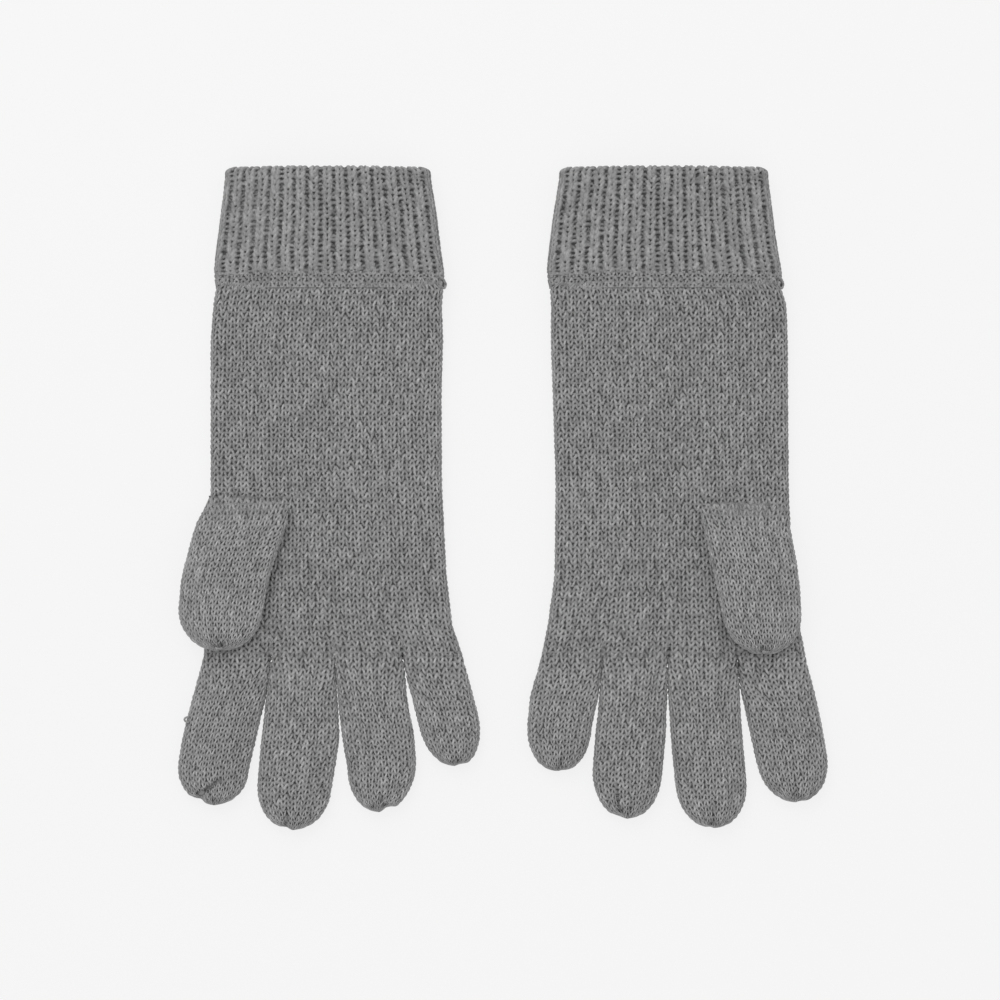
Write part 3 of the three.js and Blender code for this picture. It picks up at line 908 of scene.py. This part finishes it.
def build_cuff(side):
    """The turned-back layer: its outer face, the fold and the lip inside the mouth."""
    low, high = node_box(f"{side}_cuff_turnback")
    _, edge_high = node_box(f"{side}_cuff_edge")
    first_y = (low[1] + edge_high[1]) / 2
    lines = cuff_side_lines(side)
    marks, front = column_marks(CUFF_RIBS, 15, 8)
    roll = (WALL + LAYER) / 2
    outer, inner = Skin(marks, front), Skin(marks, front)
    fold_y = high[1] + FOLD_REACH - roll
    ys = list(np.linspace(first_y, fold_y, int((fold_y - first_y) / RIB_COURSE * 6)))
    cuff_ring(outer, lines, first_y - 0.7, 0.9)
    for y in ys:
        cuff_ring(outer, lines, y, 0)
    turns = np.linspace(0, math.pi, 17)[1:]
    for turn in turns:
        cuff_ring(outer, lines, fold_y + roll * math.sin(turn), roll * (1 - math.cos(turn)))
    for y in np.linspace(fold_y - 0.4, fold_y - 3, 5):
        cuff_ring(outer, lines, y, 2 * roll)
    for y in np.linspace(fold_y - 2.6, first_y + 0.2, 12):
        cuff_ring(inner, lines, y, WALL)
    points, _ = outer.arrays()
    quarter_way = len(marks) // 4
    reach = along(points[:, quarter_way, 1:]) - 0.7
    w = np.broadcast_to(rib_wales(marks, front), points.shape[:2])
    c = np.broadcast_to(((first_y + reach) / RIB_COURSE)[:, None], w.shape)
    pattern = cuff_knit(first_y + reach, node_box(f"{side}_cuff_edge")[0][1])
    weight = np.ones(len(reach))
    weight[0] = 0
    last = 1 + len(ys) + len(turns)
    weight[last:] = np.linspace(1, 0.2, len(reach) - last)
    over_fold = smooth(fold_y - 1.5, fold_y + 1, first_y + reach)
    weight = weight[:, None] * (1 - 0.85 * over_fold[:, None] * smooth(0.84, 0.95, np.abs(marks)))
    piece = knitted(
        f"{side}_cuff_outer_rib", outer, inner, w, c, 2 * CUFF_RIBS, CUFF_SALT, RIB, pattern, weight,
        contrast=band_contrast(first_y + reach, side),
    )
    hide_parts(f"{side}_cuff_turnback")
    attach(piece, f"{side}_cuff")
    return piece


def build_edge_band(side):
    """The tubular band along the free edge of the turned-back cuff, where the ribs flatten."""
    low, high = node_box(f"{side}_cuff_edge")
    turn_low, _ = node_box(f"{side}_cuff_turnback")
    last_y = (high[1] + turn_low[1]) / 2
    lines = cuff_side_lines(side)
    marks, front = column_marks(CUFF_RIBS, 15, 8)
    outer, inner = Skin(marks, front), Skin(marks, front)
    for y in np.linspace(low[1] - 0.4, last_y, 34):
        thin = (LAYER - 0.1) * (1 - smooth(low[1] - 0.4, low[1] + BAND_TAPER, y))
        cuff_ring(outer, lines, y, thin, 0.75 * thin)
    for y in np.linspace(last_y - 0.1, low[1] + 0.8, 5):
        cuff_ring(inner, lines, y, LAYER + 0.2)
    points, _ = outer.arrays()
    ys = points[:, 0, 1]
    w = np.broadcast_to(rib_wales(marks, front), points.shape[:2])
    c = np.broadcast_to((ys / RIB_COURSE)[:, None], w.shape)
    pattern = cuff_knit(ys, low[1])
    weight = 0.2 + 0.8 * smooth(low[1], low[1] + BAND_TAPER, ys)
    piece = knitted(
        f"{side}_cuff_edge_band", outer, inner, w, c, 2 * CUFF_RIBS, CUFF_SALT, RIB, pattern, weight,
        contrast=band_contrast(ys, side),
    )
    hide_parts(f"{side}_cuff_edge")
    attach(piece, f"{side}_cuff")
    return piece


def build_wrist(side):
    """The inner layer of the rib, seen in the mouth. It is no wider than the narrowest part of
    the edge band, which passes over it."""
    low, high = node_box(f"{side}_wrist_rib")
    left, right, half, fold_y = cuff_side_lines(side)
    band = left[:, 1] < node_box(f"{side}_cuff_edge")[1][1]
    left[:, 0] = np.maximum(left[:, 0], left[band, 0].max() + WRIST_PLAY)
    right[:, 0] = np.minimum(right[:, 0], right[band, 0].min() - WRIST_PLAY)
    lines = left, right, half, fold_y
    marks, front = column_marks(CUFF_RIBS, 9, 6)
    outer, inner = Skin(marks, front), Skin(marks, front)
    ys = np.linspace(high[1], low[1], 60)
    for y in ys:
        cuff_ring(outer, lines, y, LAYER + WRIST_PLAY)
    for y in np.linspace(low[1], high[1] - 0.2, 30):
        cuff_ring(inner, lines, y, LAYER + WALL)
    w = np.broadcast_to(rib_wales(marks, front), (len(ys), len(marks)))
    c = np.broadcast_to((ys / RIB_COURSE)[:, None], w.shape)

    def pattern(w, c, wrap, salt):
        return ribbing(w, c, wrap, salt, 0.5)

    weight = np.full(len(ys), 0.5)
    piece = knitted(
        f"{side}_wrist_inner_rib", outer, inner, w, c, 2 * CUFF_RIBS, WRIST_SALT, RIB, pattern, weight,
        loose=0.0,
    )
    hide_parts(f"{side}_wrist_rib")
    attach(piece, f"{side}_hand")
    return piece


# ---- yarn ---------------------------------------------------------------------------

def yarn_piece(name, paths, radius, twist=0.9):
    """Short yarns along the given paths, each with a two-ply twist, joined into one piece."""
    all_points, all_faces, start = [], [], 0
    sides = YARN_SIDES
    for path in paths:
        line = smoothed(np.array(path, float), 0.5, 0.1)
        line = resampled(line, max(int(along(line)[-1] / 0.18), 8))
        reach = along(line)
        tangent = np.gradient(line, axis=0)
        tangent /= np.linalg.norm(tangent, axis=1, keepdims=True)
        side = np.cross(tangent, [0.05, 0.03, 1.0])
        side /= np.linalg.norm(side, axis=1, keepdims=True)
        top = np.cross(side, tangent)
        angle = np.linspace(0, 2 * math.pi, sides, endpoint=False)
        taper = np.clip(np.minimum(reach, reach[-1] - reach) / radius, 0, 1)
        taper = np.sqrt(np.clip(1 - (1 - taper) ** 2, 0.01, 1))
        ply = 1 - 0.16 * (1 - np.abs(np.sin(angle[None, :] + twist * reach[:, None] / radius)))
        r = radius * taper[:, None] * ply
        ring = line[:, None] + r[..., None] * (
            np.cos(angle)[None, :, None] * side[:, None] + np.sin(angle)[None, :, None] * top[:, None]
        )
        count = len(line)
        index = np.arange(count * sides).reshape(count, sides)
        right = np.roll(index, -1, axis=1)
        faces = np.stack([index[:-1], right[:-1], right[1:], index[1:]], -1).reshape(-1, 4)
        a, b, c = (ring.reshape(-1, 3)[faces[:, k]] for k in (0, 1, 2))
        middle = ring.reshape(-1, 3).mean(0)
        if ((a - middle) * np.cross(b - a, c - a)).sum() < 0:
            faces = faces[:, ::-1]
        all_points.append(ring.reshape(-1, 3))
        all_faces.append(faces + start)
        start += count * sides
    points = np.concatenate(all_points)
    faces = np.concatenate(all_faces)
    tone = hashed(np.arange(len(points)) // sides // 6, 0, 77)
    values = {"depth": np.full(len(points), 0.2), "tone": tone, "rest": points}
    piece = make_mesh(name, points, faces, values)
    cap_ends(piece)
    piece.data.materials.append(YARN)
    return piece


def cap_ends(piece):
    """Closes the two ends of each yarn."""
    mesh = bmesh.new()
    mesh.from_mesh(piece.data)
    edges = [e for e in mesh.edges if e.is_boundary]
    bmesh.ops.holes_fill(mesh, edges=edges, sides=0)
    bmesh.ops.recalc_face_normals(mesh, faces=mesh.faces)
    for face in mesh.faces:
        face.smooth = True
    mesh.to_mesh(piece.data)
    mesh.free()


def surface(*pieces):
    """The points of some pieces, in mm."""
    found = []
    for piece in pieces:
        points = np.empty(3 * len(piece.data.vertices))
        piece.data.vertices.foreach_get("co", points)
        found.append(points.reshape(-1, 3) * 1000)
    return np.concatenate(found)


def top_at(points, x, y):
    """The highest of the points near a place in plan."""
    distance = np.hypot(points[:, 0] - x, points[:, 1] - y)
    near = distance < max(0.8, distance.min() + 0.1)
    return points[near, 2].max()


def build_yarns(side, hand, cuff):
    """Gathered tips, darned crotches and the woven-in end, each in the place of its CAD node."""
    for digit in FINGERS + ("thumb",):
        node = f"{side}_{digit}_tip_gather"
        low, high = node_box(node)
        x, y, z = (low + high) / 2
        half_x, half_z = (high[0] - low[0]) / 2, (high[2] - low[2]) / 2
        turns = np.linspace(0, 2 * math.pi, 15)
        loop = [
            (x + half_x * 0.55 * math.cos(a), y - 0.1, z + half_z * 0.6 * math.sin(a))
            for a in turns
        ]
        stitch = [(x - 1.4, y + 0.5, z + 0.7), (x, y - 0.5, z + 0.2), (x + 1.3, y + 0.4, z - 0.5)]
        strands = [loop, stitch]
        if (side, digit) == SNAG_PLACE:
            snag_y = node_box(f"{side}_hand")[0][1] - SNAG_REACH
            edge, _, bottom, top = slices(f"{side}_{digit}_finger", [snag_y])[0]
            snag_z = bottom + 0.62 * (top - bottom)
            strands.append([(edge + dx, snag_y + dy, snag_z) for dx, dy in SNAG])
        piece = yarn_piece(f"{side}_{digit}_drawn_yarn", strands, YARN_RADIUS["drawn"])
        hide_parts(node)
        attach(piece, f"{side}_{digit}")
    for crotch in ("index_middle", "middle_ring", "ring_little", "thumb"):
        node = f"{side}_{crotch}_crotch_stitch"
        low, high = node_box(node)
        x, y, z = (low + high) / 2
        z = top_at(hand, x, y + 1.0) - 0.1
        strands = [
            [(x - 1.1, y + 1.9, z - 0.6), (x - 0.3, y + 0.5, z + 0.1), (x + 0.5, y - 1.2, z - 0.7)],
            [(x + 1.2, y + 1.6, z - 0.6), (x + 0.2, y + 0.1, z + 0.2), (x - 0.7, y - 1.4, z - 0.7)],
        ]
        piece = yarn_piece(f"{side}_{crotch}_darning", strands, YARN_RADIUS["darning"])
        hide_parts(node)
        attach(piece, f"{side}_hand")
    node = f"{side}_cuff_yarn_end"
    low, high = node_box(node)
    x, y, z = (low + high) / 2
    plan = [
        (-0.9, 4.6), (0.6, 3.2), (-0.7, 1.4), (0.9, 0.2),
        (1.9, -1.8), (1.2, -3.4), (-0.4, -2.6), (0.2, -0.6),
    ]
    heights = (-0.5, 0.25, 0.1, 0.35, 0.0, -0.2, 0.1, 0.5)
    route = [
        (x + dx, y + dy, top_at(cuff, x + dx, y + dy) + dz)
        for (dx, dy), dz in zip(plan, heights)
    ]
    piece = yarn_piece(f"{side}_woven_in_end", [route], YARN_RADIUS["woven_in"])
    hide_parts(node)
    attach(piece, f"{side}_cuff")


# ---- assembly -----------------------------------------------------------------------

for side in SIDES:
    hand = surface(build_hand(side))
    for finger in FINGERS:
        build_finger(side, finger)
    build_thumb(side)
    build_wrist(side)
    cuff = surface(build_cuff(side), build_edge_band(side))
    build_yarns(side, hand, cuff)


# ---- floor, light and camera --------------------------------------------------------

def build_floor():
    """A plain pale floor."""
    mesh = bpy.data.meshes.new("floor")
    corners = [(x * FLOOR_REACH, y * FLOOR_REACH, FLOOR_Z) for x, y in ((-1, -1), (1, -1), (1, 1), (-1, 1))]
    mesh.from_pydata(corners, [], [(0, 1, 2, 3)])
    floor = bpy.data.objects.new("floor", mesh)
    bpy.context.scene.collection.objects.link(floor)
    n = Nodes("pale_paper")
    n.shader.inputs["Base Color"].default_value = (0.12, 0.12, 0.12, 1)
    n.shader.inputs["Roughness"].default_value = 1
    n.shader.inputs["Specular IOR Level"].default_value = 0
    n.shader.inputs["Emission Color"].default_value = (1, 1, 1, 1)
    n.shader.inputs["Emission Strength"].default_value = 0.80
    mesh.materials.append(n.material)


def build_lights():
    """Even light all round, with a weak softbox from the cuffs' side."""
    world = bpy.data.worlds.new("studio")
    world.use_nodes = True
    world.node_tree.nodes["Background"].inputs["Color"].default_value = (1, 1, 1, 1)
    world.node_tree.nodes["Background"].inputs["Strength"].default_value = 0.80
    bpy.context.scene.world = world
    lamp = bpy.data.lights.new("softbox", "AREA")
    lamp.energy = 5
    lamp.size = 0.8
    holder = bpy.data.objects.new("softbox", lamp)
    holder.location = (-0.35, 0.75, 1.0)
    holder.rotation_euler = (math.radians(-37), math.radians(-16), 0)
    bpy.context.scene.collection.objects.link(holder)


def build_camera():
    """A camera straight above the middle of the pair."""
    low, high = (np.array(corner) for corner in cad_box)
    middle = (low + high) / 2
    camera = bpy.data.objects.new("camera", bpy.data.cameras.new("camera"))
    camera.data.lens = LENS
    camera.data.sensor_width = SENSOR
    camera.data.clip_end = 20
    top = node_box("right_hand")[1][2] / 1000
    camera.location = (middle[0] - 0.0010, middle[1] - 0.0005, top + FIELD * LENS / SENSOR)
    bpy.context.scene.collection.objects.link(camera)
    bpy.context.scene.camera = camera


build_floor()
build_lights()
build_camera()
bpy.context.scene.view_settings.view_transform = "Standard"
